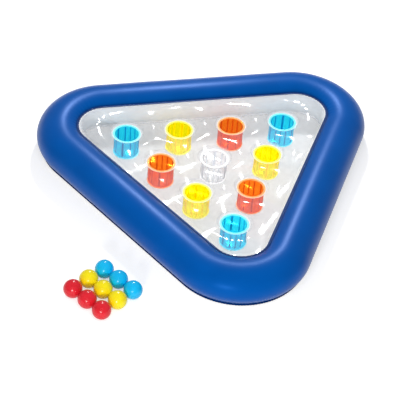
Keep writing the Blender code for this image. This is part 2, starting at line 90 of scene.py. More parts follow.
class Wire:  # one output of a node
    def __init__(self, board, socket):
        self.board = board
        self.socket = socket

    def __getitem__(self, output):
        return Wire(self.board, self.socket.node.outputs[output])

    def maths(self, operation, first, second=0.0):
        return self.board.add("ShaderNodeMath", {"operation": operation}, {0: first, 1: second})

    def __add__(self, other):
        return self.maths("ADD", self, other)

    def __sub__(self, other):
        return self.maths("SUBTRACT", self, other)

    def __rsub__(self, other):
        return self.maths("SUBTRACT", other, self)

    def __mul__(self, other):
        return self.maths("MULTIPLY", self, other)

    def __truediv__(self, other):
        return self.maths("DIVIDE", self, other)

    def __rtruediv__(self, other):
        return self.maths("DIVIDE", other, self)

    def __pow__(self, other):
        return self.maths("POWER", self, other)

    def __neg__(self):
        return self.maths("MULTIPLY", self, -1.0)

    __radd__ = __add__
    __rmul__ = __mul__

    def sin(self):
        return self.maths("SINE", self)

    def cos(self):
        return self.maths("COSINE", self)

    def exp(self):
        return self.maths("EXPONENT", self)

    def size(self):
        return self.maths("ABSOLUTE", self)

    def floor(self):
        return self.maths("FLOOR", self)

    def atLeast(self, other):
        return self.maths("MAXIMUM", self, other)

    def atMost(self, other):
        return self.maths("MINIMUM", self, other)

    def share(self, low, high, smooth=False):  # 0 up to low, 1 from high on
        kind = "SMOOTHSTEP" if smooth else "LINEAR"
        ends = {"Value": self, "From Min": low, "From Max": high}
        return self.board.add("ShaderNodeMapRange", {"interpolation_type": kind}, ends)


class Board:  # a node tree that nodes are put on
    def __init__(self, tree):
        self.tree = tree

    def add(self, kind, settings=None, inputs=None):
        node = self.tree.nodes.new(kind)
        for name, value in (settings or {}).items():
            setattr(node, name, value)
        for name, value in (inputs or {}).items():
            if isinstance(value, Wire):
                self.tree.links.new(value.socket, node.inputs[name])
            else:
                node.inputs[name].default_value = value
        return Wire(self, node.outputs[0]) if node.outputs else None

    def noise(self, vector, scale, detail=2.0, roughness=0.5, distortion=0.0):
        inputs = {
            "Vector": vector,
            "Scale": scale,
            "Detail": detail,
            "Roughness": roughness,
            "Distortion": distortion,
        }
        return self.add("ShaderNodeTexNoise", None, inputs)

    def vector(self, x, y, z):
        return self.add("ShaderNodeCombineXYZ", None, {0: x, 1: y, 2: z})

    def blend(self, factor, first, second):  # of two colours
        return self.add("ShaderNodeMix", {"data_type": "RGBA"}, {0: factor, 6: first, 7: second})[2]

    def attribute(self, name):
        return self.add("ShaderNodeAttribute", {"attribute_name": name})["Fac"]

    def bump(self, relief, height):  # relief is its strength and depth
        inputs = {"Strength": relief[0], "Distance": relief[1], "Height": height}
        return self.add("ShaderNodeBump", None, inputs)

    def principled(self, inputs):
        return self.add("ShaderNodeBsdfPrincipled", None, inputs)


def newTree(name, inputs):
    tree = bpy.data.node_groups.new(name, "GeometryNodeTree")
    tree.interface.new_socket("Geometry", in_out="OUTPUT", socket_type="NodeSocketGeometry")
    kinds = {int: "NodeSocketInt", float: "NodeSocketFloat"}
    for inputName, value in inputs.items():
        tree.interface.new_socket(inputName, in_out="INPUT", socket_type=kinds[type(value)])
    tree.interface.new_socket("Finish", in_out="INPUT", socket_type="NodeSocketMaterial")
    board = Board(tree)
    given = board.add("NodeGroupInput")
    return board, {inputName: given[inputName] for inputName in (*inputs, "Finish")}


def unitGrid(board, given):  # and the place on it
    grid = board.add("GeometryNodeMeshGrid", None, {
        "Size X": 1.0,
        "Size Y": 1.0,
        "Vertices X": given["Columns"],
        "Vertices Y": given["Rows"],
    })
    return grid, board.add("ShaderNodeSeparateXYZ", None, {0: board.add("GeometryNodeInputPosition")})


def endTree(board, geometry, finish):
    real = board.add("GeometryNodeRealizeInstances", None, {"Geometry": geometry})
    done = board.add("GeometryNodeSetMaterial", None, {"Geometry": real, "Material": finish})
    board.add("NodeGroupOutput", None, {"Geometry": done})


def stored(board, geometry, name, value):
    inputs = {"Geometry": geometry, "Name": name, "Value": value}
    return board.add("GeometryNodeStoreNamedAttribute", {"data_type": "FLOAT"}, inputs)


def plainMesh(piece):  # what the modifiers make of a piece becomes its own mesh
    graph = bpy.context.evaluated_depsgraph_get()
    made = piece.evaluated_get(graph)
    mesh = bpy.data.meshes.new_from_object(made, preserve_all_data_layers=True, depsgraph=graph)
    piece.modifiers.clear()
    piece.data = mesh
    return piece


def thicken(piece, thickness, offset=-1.0):
    shell = piece.modifiers.new("thickness", "SOLIDIFY")
    shell.thickness = thickness
    shell.offset = offset
    shell.use_even_offset = False


def grown(name, tree, values, finish, thickness):
    piece = linked(name, bpy.data.meshes.new(name))
    modifier = piece.modifiers.new(name, "NODES")
    modifier.node_group = tree
    for item in tree.interface.items_tree:
        if item.in_out == "INPUT":
            modifier[item.identifier] = finish if item.name == "Finish" else values[item.name]
    thicken(piece, thickness)
    return plainMesh(piece)


sharpAngles = {"ring": 50.0, "film": 60.0, "cup wall": 60.0, "cup base": 40.0, "valve": 50.0, "ball": 40.0}


def smoothed(piece, sharpAngle):
    piece.data.shade_smooth()
    piece.data.set_sharp_from_angle(angle=math.radians(sharpAngle))
    return piece


record = frame["record"]
nodeBodies = {node: body for body, nodes in record["behaviour"]["bodies"].items() for node in nodes}
nodeSlots = {part["node"]: part["material_slot"] for part in record["subparts"]}
joints = {joint["name"]: joint for joint in frame["joints"]}
clearSlots = ("clear_film", "cup_blue", "cup_yellow", "cup_orange", "cup_clear")  # thin, and cast no shadow


def stands(piece, node):  # a finished piece takes its node's place
    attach(piece, nodeBodies[node])
    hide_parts(node)
    piece.visible_shadow = nodeSlots[node] not in clearSlots


def middleOf(node):
    low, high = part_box(node)
    return (low + high) / 2


# Finishes

def newFinish(name):
    finish = bpy.data.materials.new(name)
    finish.use_nodes = True
    finish.node_tree.nodes.clear()
    board = Board(finish.node_tree)
    return finish, board, board.add("ShaderNodeTexCoord")["Object"]


def ended(board, shader):
    board.add("ShaderNodeOutputMaterial", None, {"Surface": shader})


# the weld colour is dark navy at the seams, on the pale underside too: partly the welds' own colour, partly
# painted shade where the tube meets the film and curves under
ringLooks = {
    "blue": {
        "colour": (0.0004, 0.091, 0.400, 1.0),
        "shade": (0.0003, 0.081, 0.360, 1.0),
        "weldColour": (0.0003, 0.012, 0.085, 1.0),
        "tint": (0.07, 0.33, 1.0, 1.0),
        "gloss": 0.30,
        "roughness": 0.33,
    },
    "underside": {
        "colour": (0.93, 0.94, 0.95, 1.0),
        "shade": (0.88, 0.895, 0.915, 1.0),
        "weldColour": (0.0004, 0.012, 0.075, 1.0),
        "tint": (1.0, 1.0, 1.0, 1.0),
        "gloss": 0.35,
        "roughness": 0.34,
    },
}
ringSurface = {
    "clouds": (7.0, 3.0),  # a noise's scale, detail and roughness
    "cloudEdge": (0.35, 0.65),
    "scuffs": (90.0, 6.0, 0.7),
    "scuffEdge": (0.62, 0.80),
    "grain": (1400.0, 2.0),
    "grainHeight": 0.05,
    "peel": (160.0, 2.0),
    "peelHeight": 0.25,
    "ribPitch": 0.0022,
    "ribHeight": 0.7,
    "weldShare": 0.95,
    "unevenRoughness": 0.05,
    "relief": (0.35, 0.0004),
}


def ringFinish(name):
    look = ringLooks[name]
    finish, board, place = newFinish("ringVinyl" + name.capitalize())
    clouds = board.noise(place, *ringSurface["clouds"])
    grain = board.noise(place, *ringSurface["grain"])
    peel = board.noise(place, *ringSurface["peel"])
    scuffs = board.noise(place, *ringSurface["scuffs"]).share(*ringSurface["scuffEdge"])
    weld = board.attribute("weld")
    along = board.attribute("along")
    ribs = (along * (math.tau / ringSurface["ribPitch"])).sin() * 0.5 + 0.5
    body = board.blend(clouds.share(*ringSurface["cloudEdge"]), look["shade"], look["colour"])
    # painted shade: dark navy fading in from the seams, partly the welds' own colour
    colour = board.blend(weld * ringSurface["weldShare"], body, look["weldColour"])
    height = grain * ringSurface["grainHeight"] + peel * ringSurface["peelHeight"]
    height = height + ribs * weld * ringSurface["ribHeight"]
    uneven = (clouds + scuffs) * ringSurface["unevenRoughness"]
    ended(board, board.principled({
        "Base Color": colour,
        "Roughness": look["roughness"] + uneven,
        "Specular IOR Level": look["gloss"],
        "Specular Tint": look["tint"],
        "Normal": board.bump(ringSurface["relief"], height),
    }))
    return finish


# both films are greyed, partly as the vinyl's veil and partly as painted shade: they darken the floor seen
# through them in place of the shadow the films don't cast
filmLooks = {
    "top": {"colour": (0.54, 0.56, 0.605, 1.0), "alpha": 0.11},
    "bottom": {"colour": (0.44, 0.45, 0.47, 1.0), "alpha": 0.25},
}
filmSurface = {
    # the weld colour and alpha make the film whiter and milkier: real welds round the cups, painted light
    # along the back of the top film
    "weldColour": (0.95, 0.96, 0.975, 1.0),
    "weldAlpha": 0.45,
    "clouds": (14.0, 4.0, 0.55, 0.6),
    "cloudAlpha": 0.14,
    "fine": (60.0, 3.0, 0.5, 0.4),
    "fineAlpha": 0.06,
    "fineHeight": 0.5,
    "fineRoughness": 0.05,
    "grain": (300.0, 2.0),
    "grainHeight": 0.06,
    "roughness": 0.09,
    "ior": 1.95,
    "relief": (0.25, 0.0008),
}


def filmFinish(name):
    look = filmLooks[name]
    finish, board, place = newFinish("clearVinyl" + name.capitalize())
    clouds = board.noise(place, *filmSurface["clouds"])
    fine = board.noise(place, *filmSurface["fine"])
    grain = board.noise(place, *filmSurface["grain"])
    weld = board.attribute("weld")
    # whiter and milkier at the welds, and as painted light along the back of the top film
    colour = board.blend(weld, look["colour"], filmSurface["weldColour"])
    haze = (clouds - 0.5) * filmSurface["cloudAlpha"] + (fine - 0.5) * filmSurface["fineAlpha"]
    alpha = look["alpha"] + haze + weld * filmSurface["weldAlpha"]
    height = fine * filmSurface["fineHeight"] + grain * filmSurface["grainHeight"]
    ended(board, board.principled({
        "Base Color": colour,
        "Roughness": filmSurface["roughness"] + fine * filmSurface["fineRoughness"],
        "IOR": filmSurface["ior"],
        "Alpha": alpha.share(0.0, 1.0),
        "Normal": board.bump(filmSurface["relief"], height),
    }))
    return finish


cupLooks = {  # the glow is painted light: an emission, standing in for light that the thin walls pipe on
    # each crease colour is painted shade along the flutes' creases
    "blue": {
        "colour": (0.02, 0.72, 0.98, 1.0),
        "crease": (0.0, 0.09, 0.30, 1.0),
        "flange": (0.36, 0.95, 1.0, 1.0),
        "tint": (0.17, 0.89, 0.98, 1.0),
        "glow": 0.44,
        "solid": 0.14,
    },
    "yellow": {
        "colour": (0.98, 0.87, 0.006, 1.0),
        "crease": (0.78, 0.47, 0.0, 1.0),
        "flange": (1.0, 0.97, 0.26, 1.0),
        "tint": (0.99, 0.955, 0.06, 1.0),
        "glow": 0.40,
        "solid": 0.14,
    },
    "orange": {
        "colour": (0.98, 0.18, 0.014, 1.0),
        "crease": (0.34, 0.018, 0.004, 1.0),
        "flange": (1.0, 0.55, 0.22, 1.0),
        "tint": (0.98, 0.49, 0.12, 1.0),
        "glow": 0.42,
        "solid": 0.14,
    },
    "clear": {
        "colour": (0.80, 0.81, 0.83, 1.0),
        "crease": (0.58, 0.61, 0.66, 1.0),
        "flange": (0.98, 0.985, 0.99, 1.0),
        "tint": (0.975, 0.978, 0.985, 1.0),
        "glow": 0.06,
        "solid": 0.32,
    },
}
cupSurface = {
    "spread": 0.0018,  # how deep light goes in the tinted vinyl
    "creaseSolid": 0.46,
    "flangeSolid": 0.56,
    "mostSolid": 0.95,
    "clouds": (35.0, 3.0),
    "cloudHeight": 0.4,
    "cloudRoughness": 0.08,
    "grain": (420.0, 2.0),
    "grainHeight": 0.05,
    "ribPitch": 0.002,
    "ribHeight": 0.5,
    "roughness": 0.16,
    "flangeRoughness": 0.1,
    "gloss": 0.14,
    "relief": (0.3, 0.0004),
}


def cupFinish(name):
    look = cupLooks[name]
    finish, board, place = newFinish("cupVinyl" + name.capitalize())
    clouds = board.noise(place, *cupSurface["clouds"])
    grain = board.noise(place, *cupSurface["grain"])
    crease = board.attribute("crease")
    flange = board.attribute("flange")
    along = board.attribute("along")
    # painted shade: the walls are darker along the flutes' creases
    walls = board.blend(crease, look["colour"], look["crease"])
    colour = board.blend(flange, walls, look["flange"])
    ribs = (along * (math.tau / cupSurface["ribPitch"])).sin() * 0.5 + 0.5
    height = clouds * cupSurface["cloudHeight"] + grain * cupSurface["grainHeight"]
    height = height + ribs * flange * cupSurface["ribHeight"]
    uneven = clouds * cupSurface["cloudRoughness"] + flange * cupSurface["flangeRoughness"]
    # painted glow: the walls' colour, but not the flange's, is given off as light
    glow = board.blend(flange, walls, (0.0, 0.0, 0.0, 1.0))
    body = board.principled({
        "Base Color": colour,
        "Roughness": cupSurface["roughness"] + uneven,
        "Specular IOR Level": cupSurface["gloss"],
        "Subsurface Weight": 1.0,
        "Subsurface Radius": (1.0, 1.0, 1.0),
        "Subsurface Scale": cupSurface["spread"],
        # painted glow, at the strength given in the look
        "Emission Color": glow,
        "Emission Strength": look["glow"],
        "Normal": board.bump(cupSurface["relief"], height),
    })
    clear = board.add("ShaderNodeBsdfTransparent", None, {"Color": look["tint"]})
    solid = look["solid"] + crease * cupSurface["creaseSolid"] + flange * cupSurface["flangeSolid"]
    factor = solid.atMost(cupSurface["mostSolid"])
    ended(board, board.add("ShaderNodeMixShader", None, {0: factor, 1: clear, 2: body}))
    return finish


ballLooks = {
    "red": {"colour": (0.74, 0.018, 0.032, 1.0), "shade": (0.62, 0.010, 0.020, 1.0)},
    "yellow": {"colour": (0.92, 0.79, 0.008, 1.0), "shade": (0.85, 0.68, 0.005, 1.0)},
    "blue": {"colour": (0.003, 0.50, 0.88, 1.0), "shade": (0.002, 0.43, 0.80, 1.0)},
}
ballSurface = {
    "clouds": (45.0, 3.0),
    "cloudEdge": (0.3, 0.7),
    "cloudHeight": 0.6,
    "cloudRoughness": 0.06,
    "scuffs": (260.0, 5.0, 0.65),
    "scuffEdge": (0.60, 0.78),
    "scuffHeight": 0.05,
    "scuffRoughness": 0.08,
    "grain": (700.0, 2.0),
    "grainHeight": 0.08,
    "roughness": 0.18,
    "gloss": 0.34,
    "relief": (0.25, 0.0003),
}


def ballFinish(name):
    look = ballLooks[name]
    finish, board, place = newFinish("ballPlastic" + name.capitalize())
    clouds = board.noise(place, *ballSurface["clouds"])
    scuffs = board.noise(place, *ballSurface["scuffs"]).share(*ballSurface["scuffEdge"])
    grain = board.noise(place, *ballSurface["grain"])
    height = clouds * ballSurface["cloudHeight"] + grain * ballSurface["grainHeight"]
    height = height + scuffs * ballSurface["scuffHeight"]
    uneven = clouds * ballSurface["cloudRoughness"] + scuffs * ballSurface["scuffRoughness"]
    ended(board, board.principled({
        "Base Color": board.blend(clouds.share(*ballSurface["cloudEdge"]), look["shade"], look["colour"]),
        "Roughness": ballSurface["roughness"] + uneven,
        "Specular IOR Level": ballSurface["gloss"],
        "Normal": board.bump(ballSurface["relief"], height),
    }))
    return finish


valveSurface = {
    "colour": (0.90, 0.92, 0.93, 1.0),
    "shade": (0.78, 0.82, 0.85, 1.0),
    "clouds": (160.0, 3.0),
    "cloudHeight": 0.5,
    "cloudRoughness": 0.08,
    "cloudAlpha": 0.1,
    "grain": (1500.0, 2.0),
    "grainHeight": 0.1,
    "roughness": 0.24,
    "alpha": 0.62,
    "relief": (0.25, 0.0002),
}


def valveFinish():
    finish, board, place = newFinish("milkyValveVinyl")
    clouds = board.noise(place, *valveSurface["clouds"])
    grain = board.noise(place, *valveSurface["grain"])
    height = clouds * valveSurface["cloudHeight"] + grain * valveSurface["grainHeight"]
    ended(board, board.principled({
        "Base Color": board.blend(clouds, valveSurface["shade"], valveSurface["colour"]),
        "Roughness": valveSurface["roughness"] + clouds * valveSurface["cloudRoughness"],
        "Alpha": valveSurface["alpha"] + clouds * valveSurface["cloudAlpha"],
        "Normal": board.bump(valveSurface["relief"], height),
    }))
    return finish


finishes = {
    **{"ring " + name: ringFinish(name) for name in ringLooks},
    **{"film " + name: filmFinish(name) for name in filmLooks},
    "valve": valveFinish(),
    **{"cup " + name: cupFinish(name) for name in cupLooks},
    **{"ball " + name: ballFinish(name) for name in ballLooks},
}
print("finishes mixed:", len(finishes))


# Turned pieces, and the places of the two air valves

def turnedMesh(name, profile, segments, finish, closed=False):
    # the profile is (radius, height) points, down the outer side
    bm = bmesh.new()
    rings = []
    for radius, height in profile:
        if radius == 0.0:  # a pole
            rings.append([bm.verts.new((0.0, 0.0, height))] * segments)
            continue
        turns = [math.tau * step / segments for step in range(segments)]
        rings.append([bm.verts.new((radius * math.cos(t), radius * math.sin(t), height)) for t in turns])
    for upper, lower in zip(rings, rings[1:] + rings[:1] * closed):
        for here in range(segments):
            there = (here + 1) % segments
            corners = (upper[here], lower[here], lower[there], upper[there])
            bm.faces.new(list(dict.fromkeys(corners)))
    mesh = bpy.data.meshes.new(name)
    bm.to_mesh(mesh)
    bm.free()
    mesh.materials.append(finish)
    return mesh


def pierced(piece, place, radius, finish):  # a round hole along a place's z axis
    reach = 2 * radius
    profile = [(0.0, reach), (radius, reach), (radius, -reach), (0.0, -reach)]
    drill = linked("drill", turnedMesh("drill", profile, valveSizes["segments"], finish))
    drill.data.transform(place)
    hole = piece.modifiers.new("hole", "BOOLEAN")
    hole.operation = "DIFFERENCE"
    hole.object = drill
    plainMesh(piece)
    bpy.data.objects.remove(drill)


valveSizes = {
    "hole": 0.0082,
    "seat": 0.014,
    "sheet": 0.001,
    "well": 0.0075,
    "wellFloor": -0.0177,
    "vent": 0.003,
    "bore": 0.0035,
    "stem": 0.006,
    "stemTop": 0.0025,
    "stemBottom": -0.0125,
    "foot": 0.0071,
    "footHeight": 0.0015,
    "ear": 0.0013,
    "strap": 0.003,
    "pivot": 0.0095,
    "plug": 0.0028,
    "cap": 0.0075,
    "capHeight": 0.0015,
    "shank": 0.0032,
    "shankTip": 0.0022,
    "shankLength": 0.004,
    "flap": 0.0045,
    "flapTop": -0.0128,
    "flapSheet": 0.0004,
    "round": 0.0003,
    "dishShares": (0.70, 0.75),
    "floorHeight": 0.0185,
    "segments": 48,
}


def valvePlace(name):  # from its joints: x across, y away from the plug's strap, z outwards
    axis = Vector(joints[name + "_stem_pull"]["axis"]).normalized()
    across = Vector((1.0, 0.0, 0.0))
    away = axis.cross(across)
    strap = Vector(joints[name + "_plug_strap"]["pos_m"])
    middle = strap + valveSizes["pivot"] * away - valveSizes["plug"] * axis
    return Matrix.Translation(middle) @ Matrix((across, away, axis)).transposed().to_4x4()


# The air ring, two sheets swept round the plan of three straights and three corners

ringSizes = {
    "middle": 0.1035,
    "sideReach": 0.382,
    "cornerRadius": 0.175,
    "width": 0.164,
    "height": 0.142,
    "sunk": 0.0005,
    "outerSeam": math.radians(-42.0),
    "innerSeam": math.radians(141.3),
    "innerLip": 0.0085,
    "outerLip": 0.0065,
    "sheet": 0.0005,
    "weldGap": 0.0003,
}
ringCentre = ringSizes["height"] / 2 - ringSizes["sunk"]
cornerReach = 2 * (ringSizes["sideReach"] - ringSizes["cornerRadius"])
innerSeamAcross = ringSizes["width"] / 2 * math.cos(ringSizes["innerSeam"])
innerSeamHeight = ringCentre + ringSizes["height"] / 2 * math.sin(ringSizes["innerSeam"])

ringPuckers = {
    "outerDepth": 0.0024,
    "outerPitch": 0.0105,
    "innerDepth": 0.0004,
    "innerPitch": 0.014,
    "reach": 0.010,
    "unevenness": 0.0014,
    "uneven": (5.0, 2.0),
    "jitter": (16.0, 2.0),
    "jitterTurn": 5.0,
    "ripple": (75.0, 2.0),
    "rippleShare": 0.9,
    "cornerFade": 6.0,
    # how far the dark weld colour, partly painted shade, fades in from a seam
    "weldFade": 0.0052,
    "lipCrimp": 0.22,
}

ringRows = {
    "upper": (1081, 41),
    "lower": (721, 27),
    "cornerShare": 0.67,
    "lipShare": 0.05,
    "easing": 0.62,
}
mergeDistance = 0.00001


def airRingTree(inputs):
    board, given = newTree("airRing", inputs)
    grid, spot = unitGrid(board, given)
    turns = (spot["X"] + 0.5) * 3.0
    rise = spot["Y"] + 0.5

    # Round the plan: a corner, then the straight that follows it
    side = turns.floor()
    within = turns - side
    onCorner = within.share(0.0, given["Corner Share"])
    onStraight = within.share(given["Corner Share"], 1.0)
    heading = side * (math.tau / 3) - math.pi / 2
    turn = heading + (onCorner - 0.5) * (math.tau / 3)
    length = onStraight * given["Corner Reach"] * math.sqrt(3)

    # Up the section: a weld lip, the sheet's arc with closer rows at its seams, and a weld lip
    firstLip = 1.0 - rise.share(0.0, given["Lip Share"])
    lastLip = rise.share(1.0 - given["Lip Share"], 1.0)
    climb = rise.share(given["Lip Share"], 1.0 - given["Lip Share"])
    eased = climb - (climb * math.tau).sin() * (ringRows["easing"] / math.tau)
    angle = given["First Angle"] + (given["Last Angle"] - given["First Angle"]) * eased
    halfWidth = given["Width"] * 0.5
    halfHeight = given["Height"] * 0.5
    onTube = (angle.cos() * halfWidth, angle.sin() * halfHeight)

    def placed(across, high):
        out = given["Corner Radius"] + across
        x = heading.cos() * given["Corner Reach"] + turn.cos() * out - turn.sin() * length
        y = heading.sin() * given["Corner Reach"] + turn.sin() * out + turn.cos() * length
        return board.vector(x, y + given["Middle"], (high + given["Centre"]).atLeast(0.0))

    plain = placed(*onTube)
    jitter = board.noise(plain, *ringPuckers["jitter"]) * ringPuckers["jitterTurn"]
    ripple = (board.noise(plain, *ringPuckers["ripple"]) - 0.5) * ringPuckers["rippleShare"]
    uneven = board.noise(plain, *ringPuckers["uneven"]) - 0.5
    inCorner = (onCorner * (1.0 - onCorner) * ringPuckers["cornerFade"]).atMost(1.0)

    def pleats(count):
        return ((turn * count + jitter).cos() * 0.5 + 0.5) * inCorner

    def pucker(fromSeam, depth, count):
        near = fromSeam / given["Pucker Reach"]
        return near * (1.0 - near).exp() * depth * (pleats(count) + ripple)

    fromFirst = (angle - given["First Angle"]) * halfWidth
    fromLast = (given["Last Angle"] - angle) * halfWidth
    dent = pucker(fromFirst, given["First Depth"], given["First Count"])
    dent = dent + pucker(fromLast, given["Last Depth"], given["Last Count"])
    firstLip = firstLip * (1.0 - pleats(given["First Count"]) * given["Lip Crimp"])
    lastLip = lastLip * (1.0 - pleats(given["Last Count"]) * given["Lip Crimp"])
    across = onTube[0] + firstLip * given["First Lip X"] + lastLip * given["Last Lip X"]
    high = onTube[1] + firstLip * given["First Lip Z"] + lastLip * given["Last Lip Z"]
    swollen = (climb * math.pi).sin() * uneven * given["Unevenness"] - dent
    normalX = angle.cos() / halfWidth
    normalZ = angle.sin() / halfHeight
    steep = (normalX * normalX + normalZ * normalZ) ** 0.5
    shaped = placed(across + swollen * normalX / steep, high + swollen * normalZ / steep)
    along = (side + onCorner) * (given["Corner Radius"] + halfWidth) * (math.tau / 3) + length
    # the mark for the dark weld colour near the seams, partly painted shade; the weld ribs use it too
    nearFirst = (fromFirst / -given["Weld Fade"]).exp() * given["First Weld"]
    nearSeam = nearFirst + (fromLast / -given["Weld Fade"]).exp() * given["Last Weld"]
    marked = stored(board, grid, "along", along)
    marked = stored(board, marked, "weld", nearSeam.atMost(1.0))
    moved = board.add("GeometryNodeSetPosition", None, {"Geometry": marked, "Position": shaped})
    closed = board.add("GeometryNodeMergeByDistance", None, {"Geometry": moved, "Distance": mergeDistance})
    endTree(board, closed, given["Finish"])
    return board.tree


def sheetInputs(size, *ends):  # an end is a seam's angle, lip, pucker depth and count, and its share of the dark weld colour, which is partly painted shade
    values = {
        "Columns": size[0],
        "Rows": size[1],
        "Corner Share": ringRows["cornerShare"],
        "Lip Share": ringRows["lipShare"],
        "Middle": ringSizes["middle"],
        "Centre": ringCentre,
        "Corner Reach": cornerReach,
        "Corner Radius": ringSizes["cornerRadius"],
        "Width": ringSizes["width"],
        "Height": ringSizes["height"],
        "Pucker Reach": ringPuckers["reach"],
        "Unevenness": ringPuckers["unevenness"],
        "Weld Fade": ringPuckers["weldFade"],
        "Lip Crimp": ringPuckers["lipCrimp"],
    }
    for place, (angle, lip, depth, count, weld) in zip(("First ", "Last "), ends):
        values[place + "Angle"] = angle
        values[place + "Lip X"], values[place + "Lip Z"] = lip
        values[place + "Depth"] = depth
        values[place + "Count"] = count
        values[place + "Weld"] = weld
    return values


def makeRing():
    halfWidth = ringSizes["width"] / 2
    halfHeight = ringSizes["height"] / 2
    half = ringSizes["weldGap"] / 2 + ringSizes["sheet"]
    outer = ringSizes["outerSeam"]
    speed = math.hypot(halfWidth * math.sin(outer), halfHeight * math.cos(outer))
    tangent = (-halfWidth * math.sin(outer) / speed, halfHeight * math.cos(outer) / speed)
    outerLip = (ringSizes["outerLip"] * tangent[1], -ringSizes["outerLip"] * tangent[0])
    innerLip = (-ringSizes["innerLip"], 0.0)
    innerStack = ringSizes["weldGap"] + ringSizes["sheet"] * 1.5
    innerRise = innerSeamHeight - ringCentre

    def innerAngle(height):
        return math.pi - math.asin(height / halfHeight)

    outerCount = (ringSizes["cornerRadius"] + halfWidth) * math.tau / ringPuckers["outerPitch"]
    innerCount = (ringSizes["cornerRadius"] + innerSeamAcross) * math.tau / ringPuckers["innerPitch"]
    # an end's last number is its share of the dark weld colour, partly painted shade; the pale sheet takes
    # it only at its outer seam
    outerEnd = (outerLip, ringPuckers["outerDepth"], outerCount, 1.0)
    innerEnd = (innerLip, ringPuckers["innerDepth"], innerCount)
    upper = sheetInputs(
        ringRows["upper"],
        (outer + half / speed, *outerEnd),
        (innerAngle(innerRise + innerStack), *innerEnd, 1.0),
    )
    lower = sheetInputs(
        ringRows["lower"],
        (innerAngle(innerRise - innerStack), *innerEnd, 0.0),
        (outer - half / speed + math.tau, *outerEnd),
    )
    tree = airRingTree(upper)
    for name, node, look, values in (
        ("ringUpperSheet", "ring_upper_sheet", "blue", upper),
        ("ringLowerSheet", "ring_lower_sheet", "underside", lower),
    ):
        finish = finishes["ring " + look]
        piece = grown(name, tree, values, finish, ringSizes["sheet"])
        if look == "blue":
            pierced(piece, valvePlace("ring"), valveSizes["hole"], finish)
        stands(smoothed(piece, sharpAngles["ring"]), node)
        print(name, len(piece.data.vertices), "points")


makeRing()


# The clear air floor, two films held at the ring and at the cups and blown out between them

cupSizes = {
    "rimHeight": 0.100,
    "mouth": 0.044,
    "flange": 0.0505,
    "body": 0.0474,
    "neck": 0.0055,
    "depth": 0.082,
    "sheet": 0.0008,
    "foot": 0.0485,
    "flutes": 12,
    "fluteDepth": 0.0020,
}

filmSizes = {
    "spacing": 0.0062,
    "thickness": 0.0003,
    "flat": 0.0018,
    "strip": 0.005,
    "topRise": 0.026,
    "bottomFall": 0.0165,
    "loopSteps": 72,
    "clearShare": 0.6,  # of the spacing, round a held loop
    "holeShare": 0.98,
    "sliver": 1e-7,
}
filmSolver = {"steps": 1500, "residue": 1e-16}

filmFolds = {
    "topDepth": 0.0006,
    "bottomDepth": 0.0004,
    "round": {"share": 0.3, "count": 17, "twist": 40, "reach": 0.012, "start": 0.004},
    "waves": {
        "share": 1.3,
        "wave": np.cos,
        "across": 150,
        "bend": (2.0, 90),
        "along": 130,
        "reach": 0.024,
        "start": 0.008,
    },
    "swells": {
        "share": 1.8,
        "wave": np.sin,
        "across": 70,
        "bend": (1.5, 40),
        "along": 62,
        "reach": 0.040,
        "start": 0.012,
    },
    "corner": {"share": 1.8, "count": 8, "spread": 1.7, "from": 0.5, "fade": (3.0, 3.2)},
}

filmWeldsAndPaintedLight = {
    "cupGap": 0.002,
    "cupFade": 0.012,
    "back": 0.20,
    "backFade": 0.08,
    # painted light: how much whiter and milkier the top film is made along the back
    "haze": 0.32,
    "hazeReach": 0.075,
    "clearEdge": 0.004,
    "clearFade": 0.003,
    # the strip beside the lip: clearer at the front, milky at the back as painted light
    "backEdge": (1.4, 0.4),
    "ringEdge": 0.001,
    "ringFade": 0.003,
    "footHalf": 0.001,
    "footFade": 0.002,
}


cupNames = [f"{number:02d}" for number in range(1, 11)]
cupMiddles = {name: middleOf("cup_base_" + name) for name in cupNames}


def ringPlan(across, cornerSteps=26):  # the ring's plan at a distance across from its tube's middle
    loop = []
    for side in range(3):
        heading = side * math.tau / 3 - math.pi / 2
        centre = cornerReach * Vector((math.cos(heading), math.sin(heading)))
        centre.y += ringSizes["middle"]
        radius = ringSizes["cornerRadius"] + across
        for step in range(cornerSteps + 1):
            turn = heading + (step / cornerSteps - 0.5) * math.tau / 3
            loop.append(centre + radius * Vector((math.cos(turn), math.sin(turn))))
    return withSteps(loop)


def withSteps(loop):  # points added along an outline's long edges
    full = []
    for start, end in zip(loop, loop[1:] + loop[:1]):
        count = max(1, round((end - start).length / filmSizes["spacing"]))
        full += [start.lerp(end, step / count) for step in range(count)]
    return full


def circleLoop(centre, radius, steps):
    turns = (math.tau * step / steps for step in range(steps))
    return [Vector(centre[:2]) + radius * Vector((math.cos(turn), math.sin(turn))) for turn in turns]


def depthInside(points, loop):  # how far points lie inside a convex outline
    depth = np.full(len(points), np.inf)
    for start, end in zip(loop, loop[1:] + loop[:1]):
        edge = (end - start).normalized()
        depth = np.minimum(depth, edge.x * (points[:, 1] - start.y) - edge.y * (points[:, 0] - start.x))
    return depth


